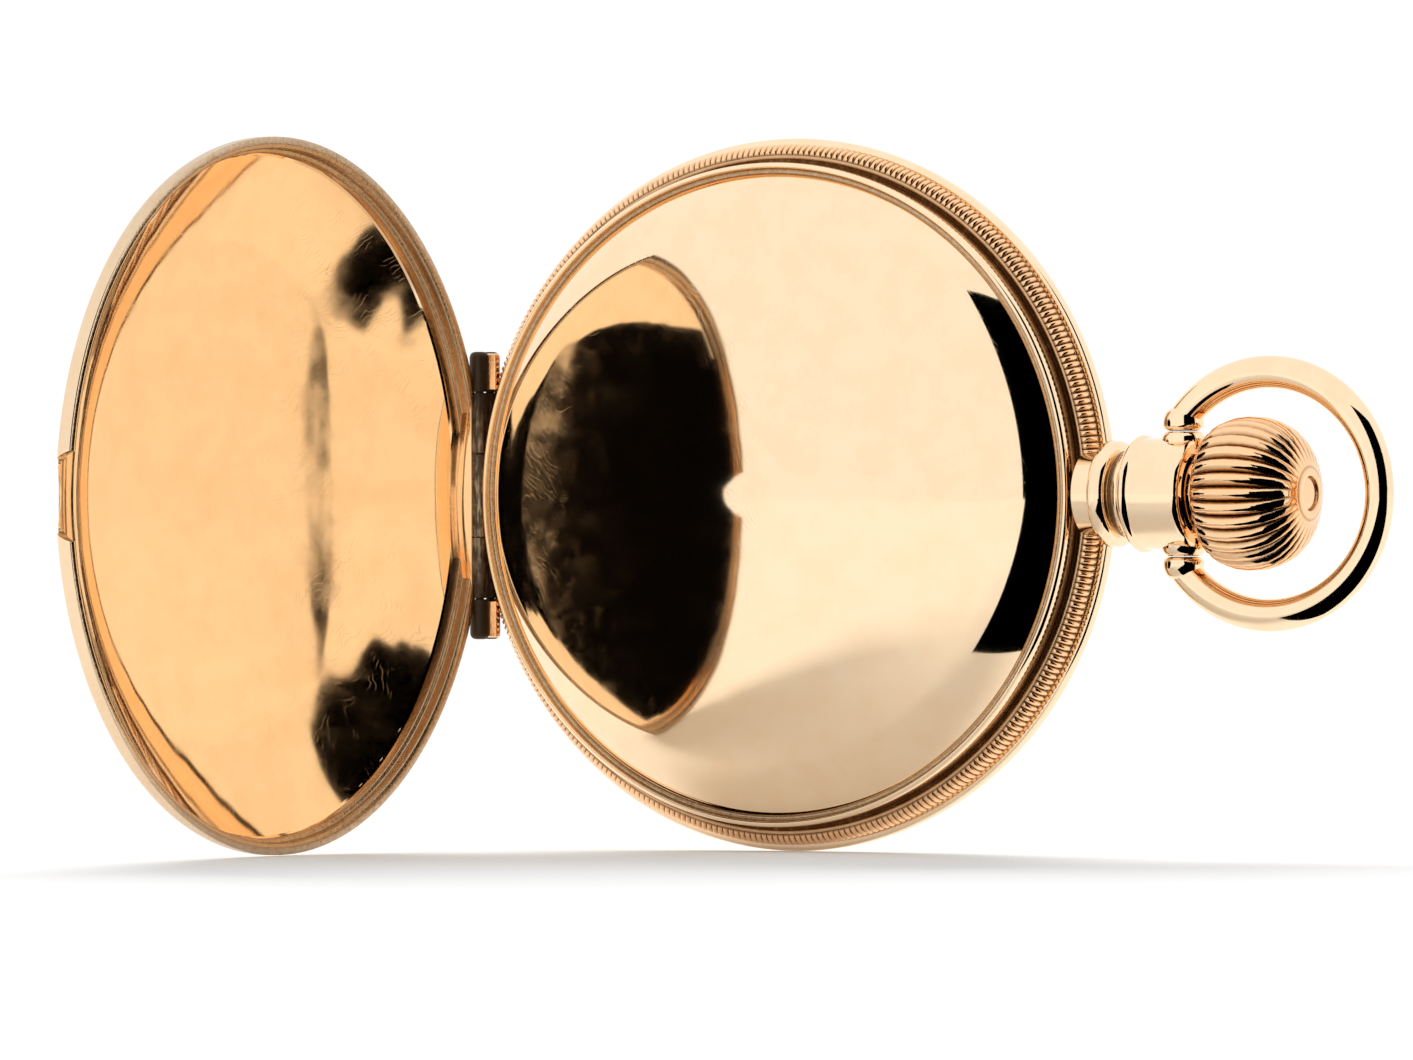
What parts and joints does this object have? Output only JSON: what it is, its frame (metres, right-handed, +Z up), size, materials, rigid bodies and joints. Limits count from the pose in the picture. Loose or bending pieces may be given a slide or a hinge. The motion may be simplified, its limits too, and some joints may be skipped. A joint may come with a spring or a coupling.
{
  "type": "hunter pocket watch",
  "caption": "Gold hunter-case pocket watch on its edge with the back cover open: hinged covers, pendant, bow, crown and a geared lever movement.",
  "frame": {"origin": "the lowest point of the front cover's lip, where the watch rests on its edge, under the middle of the case", "axes": "+Z up, along the cover hinges; -Y out of the back of the watch; +X toward the pendant, which is 3 o'clock"},
  "size_m": [0.0917, 0.0649, 0.0574],
  "materials": {
    "gold": "polished",
    "reeded_gold": "satin",
    "tarnished_gold": "worn",
    "plate": "damaskeened",
    "brass": "polished",
    "steel": "polished",
    "spring_steel": "blued",
    "blued_steel": "blued",
    "enamel": "glossy",
    "crystal": "clear",
    "ruby": "polished"
  },
  "bodies": {
    "case": {"case_center": "reeded_gold", "pendant": "gold", "stem_sleeve": "brass", "rear_hinge_pin": "tarnished_gold", "front_hinge_pin": "tarnished_gold", "bezel": "gold", "crystal": "crystal", "lift_spring": "spring_steel", "case_screws": "steel", "pillar_plate": "plate", "pillars": "plate", "top_plate": "plate", "top_plate_screws": "steel", "jewels": "ruby", "balance_cock": "plate", "cock_screw": "steel", "cock_jewel": "ruby", "hairspring": "spring_steel", "click_screw": "steel", "dial": "enamel"},
    "back_cover": {"back_cover": "gold"},
    "front_cover": {"front_cover": "gold"},
    "cuvette": {"cuvette": "gold"},
    "bow": {"bow": "gold"},
    "lid_catch": {"lid_catch": "steel"},
    "crown": {"crown": "gold", "crown_cap": "gold", "winding_stem": "steel"},
    "winding_pinion": {"winding_pinion": "steel"},
    "crown_wheel": {"crown_wheel": "steel"},
    "ratchet": {"ratchet_wheel": "steel", "barrel_arbor": "steel"},
    "click": {"click": "steel"},
    "barrel": {"barrel": "brass", "barrel_cover": "brass", "mainspring": "spring_steel"},
    "centre": {"centre_wheel": "brass", "centre_pinion": "steel", "cannon_pinion": "steel", "minute_hand": "blued_steel"},
    "third": {"third_wheel": "brass", "third_pinion": "steel"},
    "fourth": {"fourth_wheel": "brass", "fourth_pinion": "steel", "seconds_hand": "blued_steel"},
    "escape": {"escape_wheel": "brass", "escape_pinion": "steel"},
    "pallet": {"pallet_fork": "steel", "pallet_stones": "ruby", "pallet_arbor": "steel"},
    "balance": {"balance_wheel": "brass", "balance_screws": "brass", "balance_staff": "steel", "roller": "steel"},
    "regulator": {"regulator": "steel"},
    "minute_wheel": {"minute_wheel": "brass"},
    "hour": {"hour_wheel": "brass", "hour_hand": "blued_steel"}
  },
  "joints": [
    {"name": "back_cover_hinge", "type": "hinge", "parent": "case", "child": "back_cover", "pos_m": [-0.0279, -0.0015, 0.0287], "axis": [0, 0, -1], "range_deg": [-95, 0]},
    {"name": "cuvette_hinge", "type": "hinge", "parent": "case", "child": "cuvette", "pos_m": [-0.0279, -0.0015, 0.0287], "axis": [0, 0, -1], "range_deg": [0, 85]},
    {"name": "front_cover_hinge", "type": "hinge", "parent": "case", "child": "front_cover", "pos_m": [-0.0279, 0.00025, 0.0287], "axis": [0, 0, 1], "range_deg": [0, 95]},
    {"name": "bow_swing", "type": "hinge", "parent": "case", "child": "bow", "pos_m": [0.0356, -0.00063, 0.0287], "axis": [0, 0, 1], "range_deg": [-90, 90]},
    {"name": "crown_press", "type": "slide", "parent": "case", "child": "lid_catch", "axis": [1, 0, 0], "range_m": [-0.0008, 0]},
    {"name": "crown_turn", "type": "hinge", "parent": "lid_catch", "child": "crown", "pos_m": [0.04, -0.00063, 0.0287], "axis": [1, 0, 0], "continuous": true},
    {"name": "winding_pinion_spin", "type": "hinge", "parent": "case", "child": "winding_pinion", "pos_m": [0.017, -0.00063, 0.0287], "axis": [1, 0, 0], "continuous": true},
    {"name": "crown_wheel_spin", "type": "hinge", "parent": "case", "child": "crown_wheel", "pos_m": [0.01351, 0, 0.0287], "axis": [0, -1, 0], "continuous": true},
    {"name": "ratchet_spin", "type": "hinge", "parent": "case", "child": "ratchet", "pos_m": [0.00704, 0, 0.02091], "axis": [0, -1, 0], "continuous": true},
    {"name": "click_release", "type": "hinge", "parent": "case", "child": "click", "pos_m": [0.01054, 0, 0.01433], "axis": [0, -1, 0], "range_deg": [0, 12]},
    {"name": "fourth_spin", "type": "hinge", "parent": "case", "child": "fourth", "pos_m": [0, 0, 0.0397], "axis": [0, -1, 0], "continuous": true},
    {"name": "barrel_spin", "type": "hinge", "parent": "case", "child": "barrel", "pos_m": [0.00704, 0, 0.02091], "axis": [0, -1, 0], "continuous": true},
    {"name": "centre_spin", "type": "hinge", "parent": "case", "child": "centre", "pos_m": [0, 0, 0.0287], "axis": [0, -1, 0], "continuous": true},
    {"name": "third_spin", "type": "hinge", "parent": "case", "child": "third", "pos_m": [-0.0062, 0, 0.03522], "axis": [0, -1, 0], "continuous": true},
    {"name": "escape_spin", "type": "hinge", "parent": "case", "child": "escape", "pos_m": [0.00559, 0, 0.0431], "axis": [0, -1, 0], "continuous": true},
    {"name": "minute_wheel_spin", "type": "hinge", "parent": "case", "child": "minute_wheel", "pos_m": [-0.0048, 0, 0.0287], "axis": [0, -1, 0], "continuous": true},
    {"name": "hour_spin", "type": "hinge", "parent": "case", "child": "hour", "pos_m": [0, 0, 0.0287], "axis": [0, -1, 0], "continuous": true},
    {"name": "pallet_rock", "type": "hinge", "parent": "case", "child": "pallet", "pos_m": [0.0093, 0, 0.0403], "axis": [0, -1, 0], "range_deg": [-5, 5]},
    {"name": "balance_swing", "type": "hinge", "parent": "case", "child": "balance", "pos_m": [0.0063, 0, 0.0365], "axis": [0, -1, 0], "range_deg": [-270, 270]},
    {"name": "regulator_turn", "type": "hinge", "parent": "case", "child": "regulator", "pos_m": [0.0063, 0, 0.0365], "axis": [0, -1, 0], "range_deg": [-20, 20]}
  ],
  "couplings": [
    {"joint": "winding_pinion_spin", "follows": "crown_turn", "ratio": 1},
    {"joint": "crown_wheel_spin", "follows": "crown_turn", "ratio": 0.35714},
    {"joint": "ratchet_spin", "follows": "crown_turn", "ratio": -0.27174},
    {"joint": "centre_spin", "follows": "fourth_spin", "ratio": 0.016667},
    {"joint": "third_spin", "follows": "fourth_spin", "ratio": -0.13333},
    {"joint": "barrel_spin", "follows": "fourth_spin", "ratio": -0.0027778},
    {"joint": "escape_spin", "follows": "fourth_spin", "ratio": -10},
    {"joint": "minute_wheel_spin", "follows": "fourth_spin", "ratio": -0.0055556},
    {"joint": "hour_spin", "follows": "fourth_spin", "ratio": 0.0013889}
  ]
}
